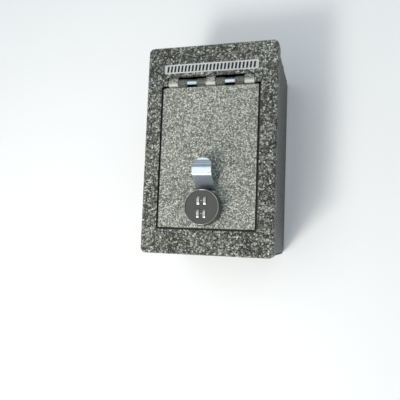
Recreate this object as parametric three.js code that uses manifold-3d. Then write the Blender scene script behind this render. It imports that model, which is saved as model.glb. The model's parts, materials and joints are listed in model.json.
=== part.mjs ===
// A console safe: a welded steel box that drops into the storage bin of a vehicle's centre console.
// Its top is a folded steel frame with a flush door. The door hangs on a rolled hinge, and the hinge
// pin shows polished between the knuckles. A round combination lock with four number wheels turns a
// cranked cam under the front of the frame, and the bent chrome strip clamped under the lock is the
// finger pull. Millimetres, +Z up. The origin is the middle of the underside; the hinge is at +Y.
import * as THREE from "three";
import { mergeVertices } from "three/addons/utils/BufferGeometryUtils.js";
import Module from "manifold-3d";

const wasm = await Module();
wasm.setup();

// Fits
const SEAT = 0.3; // gap left between pieces that lie on each other
const RUN = 0.35; // clearance round a piece that turns
const OVERCUT = 1; // how far a cutter runs past the face it cuts
const EDGE = 0.5; // broken edge on turned metal

// Frame
const SAFE_HEIGHT = 165;
const FRAME_WIDTH = 178;
const FRAME_LENGTH = 280;
const FRAME_SHEET = 3;
const FRAME_CORNER = 7; // radius of the four upright corners
const FRAME_BEND = 4; // outer radius of the folded top edge
const SKIRT_DEPTH = 20;

// Box
const BOX_SHEET = 2.5;
const BOX_BEND = 6; // outer radius where the walls turn into the floor
const BOLT_HOLE = 9;
const BOLT_SPACING_X = 110;
const BOLT_SPACING_Y = 200;
const LINER_SHEET = 4;
const LINER_MARGIN = 2; // gap between the liner and what stands round it
const LINER_CORNER = 8;

// Door
const DOOR_WIDTH = 129;
const DOOR_LENGTH = 187;
const DOOR_SHEET = 3;
const DOOR_CORNER = 1.5;
const DOOR_GAP = 2.9; // groove round the door
const NEAR_MARGIN = 32.1; // frame in front of the groove
const REST_SHEET = 2.5; // strips under the frame that the closed door lies on
const REST_UNDER_DOOR = 8;
const REST_UNDER_FRAME = 10; // the front strip's hold under the frame
const REST_WALL_GAP = 6; // between the strips and the box's side walls

// Hinge: nine equal lengths along one pin, counted from the left
const SEGMENT_LENGTH = 13;
const SEGMENTS = 9;
const FRAME_KNUCKLES = [0, 4, 8];
const LEAVES = { left: [1, 3], right: [5, 7] };
const SLEEVES = { left: 2, right: 6 };
const PIN_RADIUS = 3;
const PIN_FIT = 0.3;
const SLEEVE_RADIUS = 4.9;
const LEAF_SHEET = 2;
const LEAF_UNDER_DOOR = 22;
const JOGGLE_BEND = 1.5; // inner radius where a leaf rises to its knuckles
const KNUCKLE_PLAY = 0.4; // end play of each door knuckle
const KNUCKLE_GAP = 2; // between the door's edge and the frame's knuckles
const NOTCH_GAP = 1.6; // between the door's knuckles and the frame behind them
const NOTCH_SIDE = 0.8; // between the hinge's ends and the frame beside them
const FRAME_CURL_END = THREE.MathUtils.degToRad(20); // above level, on the far side of the pin
const LEAF_CURL_END = THREE.MathUtils.degToRad(-172); // just below level, on the near side

// Badge plate behind the hinge, with a sunk field
const BADGE_LENGTH = 128;
const BADGE_WIDTH = 12;
const BADGE_SHEET = 1.2;
const BADGE_CORNER = 1.5;
const BADGE_RIM = 1.1;
const BADGE_SINK = 0.5;
const BADGE_BEHIND_PIN = 17.5;

// Lock body
const LOCK_FROM_NEAR_EDGE = 26; // from the door's near edge to the lock's axis
const FLANGE_RADIUS = 20.5;
const FLANGE_HEIGHT = 2.3;
const BARREL_RADIUS = 9.5;
const BARREL_FLATS = 16;
const BARREL_BELOW_DOOR = 11;
const WASHER_RADIUS = 14;
const WASHER_SHEET = 1;
const NUT_SIDES = 6;
const NUT_ACROSS_FLATS = 27;
const NUT_HEIGHT = 5;
const SPINDLE_RADIUS = 4.5;
const SPINDLE_SQUARE = 6;
const SPINDLE_SQUARE_LENGTH = 2;

// Knob
const KNOB_RADIUS = 22.5;
const KNOB_HEIGHT = 16.5;
const KNOB_TAPER = 0.5; // the foot is this much larger in radius than the face
const TRIM_WIDTH = 1.3;
const TRIM_HEIGHT = 1.6;
const FACE_DROP = 0.6; // the face lies this far below the top of the trim ring
const FACE_SHEET = 2;
const BACK_RADIUS = 20;
const BACK_SHEET = 2;
const POCKET_CORNER = 2;

// Number wheels: two rows of two, each showing through its own slot
const WHEEL_RADIUS = 7.7;
const WHEEL_WIDTH = 3.4;
const WHEEL_FIGURES = 10;
const WHEEL_NOTCH = 0.7;
const WHEEL_NOTCH_HALF = 0.7; // half the width of a notch, along the rim
const WHEEL_CHAMFER = 0.4;
const WHEEL_PROUD = 2.2; // how far a wheel stands out of the face
const WHEEL_PITCH_X = 8.4;
const WHEEL_PITCH_Y = 16.6;
const POCKET_SIDE = 1.6; // room beside the outer wheels
const POCKET_END = 1; // room beyond the wheels' rims
const AXLE_RADIUS = 1.2;
const AXLE_SEAT = 3; // length of each axle end in the knob's walls
const DETENT_SHEET = 0.4;
const MARK_WIDTH = 0.9;
const MARK_HEIGHT = 0.3;

// Pull: a strip that slopes up from under the lock, arches over, drops part of the way down and
// flares out in a lip. Its bends have their radii on the strip's middle line.
const PULL_WIDTH = 25;
const PULL_SHEET = 1.5;
const PULL_FOOT_RADIUS = 17;
const PULL_BEND = 3;
const PULL_RISER = 25.2; // straight length between the foot's bend and the arch
const PULL_ARCH = 10;
const PULL_DROP = 1; // straight length between the arch and the lip's bend
const PULL_LIP_BEND = 6;
const PULL_LIP = 2.3; // straight length at the very end
const PULL_KNOB_GAP = 2.5; // level gap between the knob's foot and the rising strip
const PULL_RISE = THREE.MathUtils.degToRad(54);
const PULL_FALL = THREE.MathUtils.degToRad(-48);
const PULL_LIP_FALL = THREE.MathUtils.degToRad(-6);
const PULL_END_CORNER = 12;

// Cam
const CAM_SHEET = 2.5;
const CAM_WIDTH = 14;
const CAM_TAIL = 9;
const CAM_REACH = 42;
const CAM_CRANK_START = 13;
const CAM_CRANK_END = 22;
const CAM_UNDER_REST = 0.5; // between the cam and the strip it locks under
const CAM_WASHER_RADIUS = 6.5;
const CAM_WASHER_SHEET = 1;
const SCREW_RADIUS = 2;
const SCREW_LENGTH = 9;
const SCREW_HEAD_RADIUS = 4.5;
const SCREW_HEAD_HEIGHT = 2.6;
const SCREW_SLOT_LENGTH = 4.6;
const SCREW_SLOT_WIDTH = 1;

// Levels and lines of the box and the door, worked out from the sizes above
const TOP = SAFE_HEIGHT;
const FRAME_UNDER = TOP - FRAME_SHEET;
const DOOR_UNDER = TOP - DOOR_SHEET;
const SKIRT_LOW = TOP - SKIRT_DEPTH;
const BOX_TOP = FRAME_UNDER - SEAT;
const BOX_WIDTH = FRAME_WIDTH - 2 * (FRAME_SHEET + SEAT);
const BOX_LENGTH = FRAME_LENGTH - 2 * (FRAME_SHEET + SEAT);
const WRAP_WIDTH = BOX_WIDTH - 2 * (BOX_SHEET + SEAT);
const OPENING_NEAR = -FRAME_LENGTH / 2 + NEAR_MARGIN;
const DOOR_NEAR = OPENING_NEAR + DOOR_GAP;
const DOOR_FAR = DOOR_NEAR + DOOR_LENGTH;
const OPENING_FAR = DOOR_FAR + DOOR_GAP;
const OPENING_WIDTH = DOOR_WIDTH + 2 * DOOR_GAP;
const REST_HIGH = Math.min(FRAME_UNDER, DOOR_UNDER) - SEAT;
const REST_LOW = REST_HIGH - REST_SHEET;
const REST_INNER = DOOR_WIDTH / 2 - REST_UNDER_DOOR;
const REST_OUTER = BOX_WIDTH / 2 - BOX_SHEET - REST_WALL_GAP;
const REST_FRONT_INNER = DOOR_NEAR + REST_UNDER_DOOR;
const REST_FRONT_OUTER = OPENING_NEAR - REST_UNDER_FRAME;

// The same for the hinge
const BORE_RADIUS = PIN_RADIUS + PIN_FIT;
const FRAME_KNUCKLE_RADIUS = BORE_RADIUS + FRAME_SHEET;
const LEAF_KNUCKLE_RADIUS = BORE_RADIUS + LEAF_SHEET;
const LEAF_HIGH = DOOR_UNDER - SEAT;
const LEAF_LOW = LEAF_HIGH - LEAF_SHEET;
const PIN_Y = DOOR_FAR + KNUCKLE_GAP + FRAME_KNUCKLE_RADIUS;
const PIN_Z = TOP - FRAME_KNUCKLE_RADIUS;
const NOTCH_FAR = PIN_Y + LEAF_KNUCKLE_RADIUS + NOTCH_GAP;
const HINGE_LENGTH = SEGMENTS * SEGMENT_LENGTH;

// The same for the lock, measured from its axis and from the outer face of the door
const LOCK_Y = DOOR_NEAR + LOCK_FROM_NEAR_EDGE;
const PULL_LOW = SEAT;
const FLANGE_LOW = PULL_LOW + PULL_SHEET + SEAT;
const FLANGE_HIGH = FLANGE_LOW + FLANGE_HEIGHT;
const KNOB_LOW = FLANGE_HIGH + RUN;
const KNOB_HIGH = KNOB_LOW + KNOB_HEIGHT;
const FACE_HIGH = KNOB_HIGH - FACE_DROP;
const FACE_UNDER = FACE_HIGH - FACE_SHEET;
const BACK_HIGH = KNOB_LOW + BACK_SHEET;
const TRIM_INNER = KNOB_RADIUS - TRIM_WIDTH;
const TRIM_LOW = KNOB_HIGH - TRIM_HEIGHT;
const AXLE_Z = FACE_HIGH + WHEEL_PROUD - WHEEL_RADIUS;
const POCKET_HALF_X = WHEEL_PITCH_X / 2 + WHEEL_WIDTH / 2 + POCKET_SIDE;
const POCKET_HALF_Y = WHEEL_PITCH_Y / 2 + WHEEL_RADIUS + POCKET_END;
const BARREL_LOW = -DOOR_SHEET - BARREL_BELOW_DOOR;
const WASHER_HIGH = -DOOR_SHEET - SEAT;
const NUT_HIGH = WASHER_HIGH - WASHER_SHEET - SEAT;
const CAM_HUB_HIGH = BARREL_LOW - RUN;
const CAM_HUB_LOW = CAM_HUB_HIGH - CAM_SHEET;
const CAM_TIP_HIGH = REST_LOW - TOP - CAM_UNDER_REST;
const CAM_TIP_LOW = CAM_TIP_HIGH - CAM_SHEET;
const SPINDLE_LOW = BARREL_LOW - RUN - SPINDLE_SQUARE_LENGTH;
const CAM_WASHER_HIGH = CAM_HUB_LOW - SEAT;
const SCREW_HIGH = SPINDLE_LOW + SCREW_LENGTH;

// Materials
const coatedSteel = new THREE.MeshStandardMaterial({ color: 0x4a4b48, roughness: 0.5, metalness: 0.5 });
const plainSteel = new THREE.MeshStandardMaterial({ color: 0x2c2c2b, roughness: 0.6, metalness: 0.4 });
const chrome = new THREE.MeshStandardMaterial({ color: 0xc9ced2, roughness: 0.12, metalness: 1 });
const zincSteel = new THREE.MeshStandardMaterial({ color: 0xa9abaa, roughness: 0.35, metalness: 1 });
const darkCasting = new THREE.MeshStandardMaterial({ color: 0x3b3b39, roughness: 0.38, metalness: 0.4 });
const silverPlate = new THREE.MeshStandardMaterial({ color: 0xbfc2bf, roughness: 0.35, metalness: 0.9 });
const foam = new THREE.MeshStandardMaterial({ color: 0x1d1d1d, roughness: 0.95, metalness: 0 });

// A closed geometry as a solid that can be joined and cut.
function solid(geometry) {
  const bare = geometry.index ? geometry.toNonIndexed() : geometry;
  const positions = new THREE.BufferGeometry().setAttribute("position", bare.getAttribute("position"));
  const merged = mergeVertices(positions, 1e-4);
  return new wasm.Manifold(
    new wasm.Mesh({
      numProp: 3,
      vertProperties: merged.attributes.position.array,
      triVerts: new Uint32Array(merged.index.array),
    }),
  );
}

// A named mesh of a solid, with a material of its own, placed at a point.
function piece(name, body, material, place = [0, 0, 0]) {
  const { vertProperties, triVerts } = body.getMesh();
  const geometry = new THREE.BufferGeometry()
    .setAttribute("position", new THREE.BufferAttribute(vertProperties, 3))
    .setIndex(new THREE.BufferAttribute(triVerts, 1));
  const mesh = new THREE.Mesh(geometry, material.clone());
  mesh.name = name;
  mesh.position.set(...place);
  return mesh;
}

function joined(bodies) {
  return bodies.reduce((all, body) => all.add(body));
}

function centred(size) {
  return [-size / 2, size / 2];
}

function widened([low, high], by) {
  return [low - by, high + by];
}

function block([x0, x1], [y0, y1], [z0, z1]) {
  const box = new THREE.BoxGeometry(x1 - x0, y1 - y0, z1 - z0);
  return solid(box.translate((x0 + x1) / 2, (y0 + y1) / 2, (z0 + z1) / 2));
}

// An outline in x and y, filled between two heights.
function prismZ(outline, [z0, z1], curveSegments = 8) {
  const swept = new THREE.ExtrudeGeometry(outline, { depth: z1 - z0, bevelEnabled: false, curveSegments });
  return solid(swept.translate(0, 0, z0));
}

// An outline in y and z, filled between two places along x.
function prismX(outline, [x0, x1], curveSegments = 8) {
  const swept = new THREE.ExtrudeGeometry(outline, { depth: x1 - x0, bevelEnabled: false, curveSegments });
  const turn = new THREE.Matrix4().makeBasis(
    new THREE.Vector3(0, 1, 0),
    new THREE.Vector3(0, 0, 1),
    new THREE.Vector3(1, 0, 0),
  );
  return solid(swept.applyMatrix4(turn).translate(x0, 0, 0));
}

function circle(radius, [u, v] = [0, 0]) {
  return new THREE.Shape().absarc(u, v, radius, 0, 2 * Math.PI, false);
}

function polygon(corners) {
  return new THREE.Shape(corners.map(([u, v]) => new THREE.Vector2(u, v)));
}

function roundedRect([x0, x1], [y0, y1], radius) {
  return new THREE.Shape()
    .absarc(x1 - radius, y1 - radius, radius, 0, Math.PI / 2, false)
    .absarc(x0 + radius, y1 - radius, radius, Math.PI / 2, Math.PI, false)
    .absarc(x0 + radius, y0 + radius, radius, Math.PI, 1.5 * Math.PI, false)
    .absarc(x1 - radius, y0 + radius, radius, 1.5 * Math.PI, 2 * Math.PI, false);
}

// A profile of [radius, height] points that starts and ends on the axis, or closes, turned about z.
function turnedZ(profile, steps = 48) {
  const points = profile.map(([radius, height]) => new THREE.Vector2(radius, height));
  return solid(new THREE.LatheGeometry(points, steps).rotateX(Math.PI / 2));
}

// The same, turned about x.
function turnedX(profile, steps = 40) {
  const points = profile.map(([radius, along]) => new THREE.Vector2(radius, along));
  return solid(new THREE.LatheGeometry(points, steps).rotateZ(-Math.PI / 2));
}

// The folded frame: a flat top with a skirt bent down all round, and knuckles rolled from the top.
function topFrame() {
  const blank = roundedRect(centred(FRAME_WIDTH), centred(FRAME_LENGTH), FRAME_CORNER);
  const folded = new THREE.ExtrudeGeometry(blank, {
    depth: SKIRT_DEPTH,
    bevelThickness: FRAME_BEND,
    bevelSize: FRAME_BEND,
    bevelOffset: -FRAME_BEND,
    bevelSegments: 4,
    curveSegments: 3,
  });
  const hollow = prismZ(
    roundedRect(
      centred(FRAME_WIDTH - 2 * FRAME_SHEET),
      centred(FRAME_LENGTH - 2 * FRAME_SHEET),
      Math.max(FRAME_CORNER - FRAME_SHEET, EDGE),
    ),
    [SKIRT_LOW - OVERCUT, FRAME_UNDER],
    3,
  );
  const lowerBend = block(
    centred(FRAME_WIDTH + OVERCUT),
    centred(FRAME_LENGTH + OVERCUT),
    [SKIRT_LOW - 2 * FRAME_BEND - OVERCUT, SKIRT_LOW],
  );
  const through = widened([FRAME_UNDER, TOP], OVERCUT);
  const opening = prismZ(
    roundedRect(centred(OPENING_WIDTH), [OPENING_NEAR, OPENING_FAR], DOOR_CORNER + DOOR_GAP / 2),
    through,
    3,
  );
  const notch = block(centred(HINGE_LENGTH + 2 * NOTCH_SIDE), [OPENING_FAR - OVERCUT, NOTCH_FAR], through);
  const sheet = solid(folded.translate(0, 0, SKIRT_LOW - FRAME_BEND))
    .subtract(lowerBend)
    .subtract(hollow)
    .subtract(opening)
    .subtract(notch);
  return joined([sheet, ...FRAME_KNUCKLES.map((index) => frameKnuckle(segmentSpan(index, 0)))]);
}

// The x span of one of the hinge's lengths, less some play at both ends.
function segmentSpan(index, play) {
  const start = -HINGE_LENGTH / 2 + index * SEGMENT_LENGTH;
  return [start + play, start + SEGMENT_LENGTH - play];
}

// A tab of the frame's sheet, rolled down and under the pin until its end nearly meets the sheet.
function frameKnuckle(span) {
  const outline = new THREE.Shape();
  outline.moveTo(NOTCH_FAR + OVERCUT, TOP);
  outline.absarc(PIN_Y, PIN_Z, FRAME_KNUCKLE_RADIUS, Math.PI / 2, 2 * Math.PI + FRAME_CURL_END, false);
  outline.absarc(PIN_Y, PIN_Z, BORE_RADIUS, 2 * Math.PI + FRAME_CURL_END, Math.PI / 2, true);
  outline.lineTo(NOTCH_FAR + OVERCUT, FRAME_UNDER);
  return prismX(outline, span, 12);
}

// A leaf's end: it rises clear of the door's edge and rolls over the pin and back under the strip.
function leafKnuckle(span) {
  const joggle = JOGGLE_BEND + LEAF_SHEET / 2;
  const roll = BORE_RADIUS + LEAF_SHEET / 2;
  const joggleZ = LEAF_HIGH + JOGGLE_BEND;
  const joggleY = PIN_Y - Math.sqrt((joggle + roll) ** 2 - (joggleZ - PIN_Z) ** 2);
  const meet = Math.atan2(joggleZ - PIN_Z, joggleY - PIN_Y);
  const outline = new THREE.Shape();
  outline.moveTo(DOOR_FAR - OVERCUT, LEAF_HIGH);
  outline.absarc(joggleY, joggleZ, JOGGLE_BEND, -Math.PI / 2, meet - Math.PI, false);
  outline.absarc(PIN_Y, PIN_Z, LEAF_KNUCKLE_RADIUS, meet, LEAF_CURL_END, true);
  outline.absarc(PIN_Y, PIN_Z, BORE_RADIUS, LEAF_CURL_END, meet, false);
  outline.absarc(joggleY, joggleZ, JOGGLE_BEND + LEAF_SHEET, meet - Math.PI, -Math.PI / 2, true);
  outline.lineTo(DOOR_FAR - OVERCUT, LEAF_LOW);
  return prismX(outline, span, 10);
}

// A strip welded under the door, with two knuckles; the pin is bare between them.
function hingeLeaf(knuckles) {
  const spans = knuckles.map((index) => segmentSpan(index, KNUCKLE_PLAY));
  const width = [spans[0][0], spans[spans.length - 1][1]];
  const strip = block(width, [DOOR_FAR - LEAF_UNDER_DOOR, DOOR_FAR], [LEAF_LOW, LEAF_HIGH]);
  return joined([strip, ...spans.map((span) => leafKnuckle(span))]);
}

function hingePin() {
  const half = HINGE_LENGTH / 2;
  return turnedX(
    [
      [0, -half],
      [PIN_RADIUS - EDGE, -half],
      [PIN_RADIUS, -half + EDGE],
      [PIN_RADIUS, half - EDGE],
      [PIN_RADIUS - EDGE, half],
      [0, half],
    ],
    24,
  );
}

// A polished spacer on the pin between the two knuckles of a leaf.
function hingeSleeve(span) {
  const tube = prismX(circle(SLEEVE_RADIUS), span, 12);
  return tube.subtract(prismX(circle(BORE_RADIUS), widened(span, OVERCUT), 10));
}

// The box seen from the side: square above, with the two bends at the floor.
function boxOutline(inset) {
  const half = BOX_LENGTH / 2 - inset;
  const bend = BOX_BEND - inset;
  return new THREE.Shape()
    .moveTo(half, BOX_TOP + inset)
    .lineTo(-half, BOX_TOP + inset)
    .absarc(-half + bend, inset + bend, bend, Math.PI, 1.5 * Math.PI, false)
    .absarc(half - bend, inset + bend, bend, 1.5 * Math.PI, 2 * Math.PI, false);
}

// What is cut to this fits inside the rounded corners of the frame.
function insideFrame(body) {
  const corner = Math.max(FRAME_CORNER - FRAME_SHEET - SEAT, EDGE);
  const plan = roundedRect(centred(BOX_WIDTH), centred(BOX_LENGTH), corner);
  return body.intersect(prismZ(plan, [-OVERCUT, TOP], 3));
}

// The front wall, the floor and the back wall are one sheet, bent twice.
function boxWrap() {
  const full = prismX(boxOutline(0), centred(WRAP_WIDTH), 4);
  const hollow = prismX(boxOutline(BOX_SHEET), centred(WRAP_WIDTH + 2 * OVERCUT), 4);
  const holes = [-1, 1].flatMap((sx) =>
    [-1, 1].map((sy) => {
      const centre = [(sx * BOLT_SPACING_X) / 2, (sy * BOLT_SPACING_Y) / 2];
      return prismZ(circle(BOLT_HOLE / 2, centre), widened([0, BOX_SHEET], OVERCUT));
    }),
  );
  return insideFrame(full.subtract(hollow).subtract(joined(holes)));
}

function sidePanel(side) {
  const faces = [side * (BOX_WIDTH / 2), side * (BOX_WIDTH / 2 - BOX_SHEET)];
  return insideFrame(prismX(boxOutline(0), faces.sort((a, b) => a - b), 4));
}

function floorLiner() {
  const low = BOX_SHEET + SEAT;
  const length = BOX_LENGTH - 2 * (BOX_BEND + LINER_MARGIN);
  const plan = roundedRect(centred(WRAP_WIDTH - 2 * LINER_MARGIN), centred(length), LINER_CORNER);
  return prismZ(plan, [low, low + LINER_SHEET], 4);
}

function sideRest(side) {
  const edges = [side * REST_INNER, side * REST_OUTER].sort((a, b) => a - b);
  return block(edges, [REST_FRONT_INNER + SEAT, DOOR_FAR], [REST_LOW, REST_HIGH]);
}

function frontRest() {
  return block(centred(2 * REST_OUTER), [REST_FRONT_OUTER, REST_FRONT_INNER], [REST_LOW, REST_HIGH]);
}

function badgePlate() {
  const plate = prismZ(
    roundedRect(centred(BADGE_LENGTH), centred(BADGE_WIDTH), BADGE_CORNER),
    [0, BADGE_SHEET],
    3,
  );
  const field = prismZ(
    roundedRect(
      centred(BADGE_LENGTH - 2 * BADGE_RIM),
      centred(BADGE_WIDTH - 2 * BADGE_RIM),
      Math.max(BADGE_CORNER - BADGE_RIM, EDGE),
    ),
    [BADGE_SHEET - BADGE_SINK, BADGE_SHEET + OVERCUT],
    3,
  );
  return plate.subtract(field);
}

// A round bar with two flats, the shape that keeps the lock's barrel from turning.
function doubleD(span, fit) {
  const radius = BARREL_RADIUS + fit;
  const between = block(
    centred(BARREL_FLATS + 2 * fit),
    widened([-radius, radius], OVERCUT),
    widened(span, OVERCUT),
  );
  return prismZ(circle(radius), span, 12).intersect(between);
}

function doorPanel() {
  const plan = roundedRect(centred(DOOR_WIDTH), [DOOR_NEAR - LOCK_Y, DOOR_FAR - LOCK_Y], DOOR_CORNER);
  return prismZ(plan, [-DOOR_SHEET, 0], 3).subtract(doubleD(widened([-DOOR_SHEET, 0], OVERCUT), SEAT));
}

// A flange on the door, and the barrel through it.
function lockBase() {
  const flange = turnedZ([
    [0, FLANGE_LOW],
    [FLANGE_RADIUS, FLANGE_LOW],
    [FLANGE_RADIUS, FLANGE_HIGH - EDGE],
    [FLANGE_RADIUS - EDGE, FLANGE_HIGH],
    [0, FLANGE_HIGH],
  ]);
  const barrel = doubleD([BARREL_LOW, FLANGE_LOW + OVERCUT], 0);
  const bore = prismZ(circle(SPINDLE_RADIUS + RUN), widened([BARREL_LOW, FLANGE_HIGH], OVERCUT));
  return flange.add(barrel).subtract(bore);
}

function lockWasher() {
  const span = [WASHER_HIGH - WASHER_SHEET, WASHER_HIGH];
  return prismZ(circle(WASHER_RADIUS), span, 16).subtract(doubleD(widened(span, OVERCUT), SEAT));
}

function lockNut() {
  const corner = NUT_ACROSS_FLATS / 2 / Math.cos(Math.PI / NUT_SIDES);
  const corners = Array.from({ length: NUT_SIDES }, (_, i) => [
    corner * Math.cos((i * 2 * Math.PI) / NUT_SIDES),
    corner * Math.sin((i * 2 * Math.PI) / NUT_SIDES),
  ]);
  const low = NUT_HIGH - NUT_HEIGHT;
  const chamfer = corner - NUT_ACROSS_FLATS / 2;
  const chamfered = turnedZ([
    [0, low],
    [corner - chamfer, low],
    [corner, low + chamfer / 2],
    [corner, NUT_HIGH],
    [0, NUT_HIGH],
  ]);
  const bore = prismZ(circle(BARREL_RADIUS + SEAT), widened([low, NUT_HIGH], OVERCUT), 12);
  return prismZ(polygon(corners), [low, NUT_HIGH]).intersect(chamfered).subtract(bore);
}

// The middle line of the pull from the side, as points that each know how steeply the strip rises
// there: flat foot, a tight bend up, a straight riser, the arch, a straight drop, and the lip.
function pullLine() {
  const low = PULL_LOW + PULL_SHEET / 2;
  const clearOfKnob = KNOB_RADIUS + KNOB_TAPER + PULL_KNOB_GAP + PULL_SHEET / 2 / Math.sin(PULL_RISE);
  const cornerY = clearOfKnob - (KNOB_LOW - low) / Math.tan(PULL_RISE);
  const line = [{ y: 0, z: low, lean: 0 }];
  const straight = (length) => {
    const { y, z, lean } = line[line.length - 1];
    line.push({ y: y + length * Math.cos(lean), z: z + length * Math.sin(lean), lean });
  };
  const bend = (radius, end, steps) => {
    const { y, z, lean: start } = line[line.length - 1];
    const turn = Math.sign(end - start) * radius;
    for (let i = 1; i <= steps; i++) {
      const lean = start + ((end - start) * i) / steps;
      line.push({
        y: y + turn * (Math.sin(lean) - Math.sin(start)),
        z: z - turn * (Math.cos(lean) - Math.cos(start)),
        lean,
      });
    }
  };
  straight(cornerY - PULL_BEND * Math.tan(PULL_RISE / 2));
  bend(PULL_BEND, PULL_RISE, 6);
  straight(PULL_RISER);
  bend(PULL_ARCH, PULL_FALL, 20);
  straight(PULL_DROP);
  bend(PULL_LIP_BEND, PULL_LIP_FALL, 6);
  straight(PULL_LIP);
  return line;
}

// The bent strip, trimmed in plan to a parallel tongue with a round end, on a round foot.
function pullTab() {
  const line = pullLine();
  const face = (offset) =>
    line.map(({ y, z, lean }) => [y - offset * Math.sin(lean), z + offset * Math.cos(lean)]);
  const outline = polygon([...face(-PULL_SHEET / 2), ...face(PULL_SHEET / 2).reverse()]);
  const bent = prismX(outline, centred(PULL_WIDTH));
  const endY = Math.max(...line.map(({ y }) => y)) + PULL_SHEET / 2;
  const highest = Math.max(...line.map(({ z }) => z)) + PULL_SHEET / 2;
  const height = widened([PULL_LOW, highest], OVERCUT);
  const tongue = roundedRect(centred(PULL_WIDTH), [-PULL_WIDTH / 2, endY], PULL_END_CORNER);
  const foot = prismZ(circle(PULL_FOOT_RADIUS), [PULL_LOW, PULL_LOW + PULL_SHEET], 16);
  const hole = doubleD(widened([PULL_LOW, PULL_LOW + PULL_SHEET], OVERCUT), SEAT);
  return bent.intersect(prismZ(tongue, height, 6)).add(foot).subtract(hole);
}

// Where the four wheels stand, in the lock's frame.
const ROWS = { upper: WHEEL_PITCH_Y / 2, lower: -WHEEL_PITCH_Y / 2 };
const COLUMNS = [-WHEEL_PITCH_X / 2, WHEEL_PITCH_X / 2];
const WHEELS = Object.values(ROWS).flatMap((y) => COLUMNS.map((x) => ({ x, y })));

// The knob: a cup with a pocket for the wheels, open behind, and a slot in the face for each wheel.
function knobShell() {
  const trimSeat = TRIM_LOW - SEAT;
  const body = turnedZ(
    [
      [0, KNOB_LOW],
      [KNOB_RADIUS + KNOB_TAPER, KNOB_LOW],
      [KNOB_RADIUS, trimSeat],
      [TRIM_INNER - SEAT, trimSeat],
      [TRIM_INNER - SEAT, FACE_HIGH],
      [0, FACE_HIGH],
    ],
    64,
  );
  const backSeat = prismZ(circle(BACK_RADIUS + SEAT), [KNOB_LOW - OVERCUT, BACK_HIGH + SEAT], 16);
  const pocket = prismZ(
    roundedRect(centred(2 * POCKET_HALF_X), centred(2 * POCKET_HALF_Y), POCKET_CORNER),
    [KNOB_LOW, FACE_UNDER],
    2,
  );
  const marks = Object.values(ROWS).map((y) => indexMark(y));
  return joined([body, ...marks])
    .subtract(backSeat)
    .subtract(pocket)
    .subtract(joined(WHEELS.map(({ x, y }) => wheelSlot(x, y))))
    .subtract(joined(Object.values(ROWS).map((y) => axleGroove(y))));
}

// Room for one wheel where it comes through the face.
function wheelSlot(x, y) {
  const width = widened([x - WHEEL_WIDTH / 2, x + WHEEL_WIDTH / 2], RUN);
  return prismX(circle(WHEEL_RADIUS + RUN, [y, AXLE_Z]), width, 16);
}

// A raised line between the two wheels of a row, at which the figures are read.
function indexMark(y) {
  const width = centred(WHEEL_PITCH_X - WHEEL_WIDTH - 2 * RUN - 2 * EDGE);
  return block(width, [y - MARK_WIDTH / 2, y + MARK_WIDTH / 2], [FACE_UNDER, FACE_HIGH + MARK_HEIGHT]);
}

// A groove, open behind, that the ends of an axle drop into.
function axleGroove(y) {
  const width = centred(2 * (POCKET_HALF_X + AXLE_SEAT + SEAT));
  const radius = AXLE_RADIUS + SEAT;
  const slot = block(width, [y - radius, y + radius], [KNOB_LOW, AXLE_Z]);
  return slot.add(prismX(circle(radius, [y, AXLE_Z]), width, 6));
}

// A half-round bead that lies in the step round the face.
function knobTrimRing() {
  const round = TRIM_WIDTH / 2;
  const steps = 5;
  const bead = Array.from({ length: steps + 1 }, (_, i) => {
    const angle = (Math.PI * i) / steps;
    return [TRIM_INNER + round + round * Math.cos(angle), KNOB_HIGH - round + round * Math.sin(angle)];
  });
  const foot = [TRIM_INNER, TRIM_LOW];
  return turnedZ([foot, [KNOB_RADIUS, TRIM_LOW], ...bead, foot], 64);
}

// Closes the knob from behind; its four posts hold the axle ends up in their grooves.
function knobBack() {
  const plate = prismZ(circle(BACK_RADIUS), [KNOB_LOW, BACK_HIGH], 16);
  const posts = Object.values(ROWS).flatMap((y) =>
    [-1, 1].map((side) => {
      const middle = side * (POCKET_HALF_X + AXLE_SEAT / 2);
      return block(
        [middle - AXLE_SEAT / 2 + SEAT, middle + AXLE_SEAT / 2 - SEAT],
        [y - AXLE_RADIUS + SEAT, y + AXLE_RADIUS - SEAT],
        [BACK_HIGH - OVERCUT, AXLE_Z - AXLE_RADIUS - SEAT],
      );
    }),
  );
  return joined([plate, ...posts]);
}

function wheelAxle() {
  return prismX(circle(AXLE_RADIUS), centred(2 * (POCKET_HALF_X + AXLE_SEAT)), 6);
}

// A flat for each figure, one of them upright, and a notch between each two for a fingertip and
// the detent.
function numberWheel() {
  const step = (2 * Math.PI) / WHEEL_FIGURES;
  const half = WHEEL_NOTCH_HALF / WHEEL_RADIUS;
  const corners = Array.from({ length: WHEEL_FIGURES }, (_, i) => [
    [i * step - half, WHEEL_RADIUS],
    [i * step, WHEEL_RADIUS - WHEEL_NOTCH],
    [i * step + half, WHEEL_RADIUS],
  ]).flat();
  const toothed = polygon(corners.map(([angle, r]) => [r * Math.cos(angle), r * Math.sin(angle)]));
  const end = WHEEL_WIDTH / 2;
  const chamfered = turnedX([
    [0, -end],
    [WHEEL_RADIUS - WHEEL_CHAMFER, -end],
    [WHEEL_RADIUS, -end + WHEEL_CHAMFER],
    [WHEEL_RADIUS, end - WHEEL_CHAMFER],
    [WHEEL_RADIUS - WHEEL_CHAMFER, end],
    [0, end],
  ]);
  const bore = prismX(circle(AXLE_RADIUS + RUN), widened([-end, end], OVERCUT), 6);
  return prismX(toothed, [-end, end]).intersect(chamfered).subtract(bore);
}

// A thin spring leaf between the two rows, which clicks into the wheels' notches.
function detentLeaf() {
  const height = [BACK_HIGH + SEAT, FACE_UNDER - SEAT];
  return block(centred(WHEEL_PITCH_X + WHEEL_WIDTH), centred(DETENT_SHEET), height);
}

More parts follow.
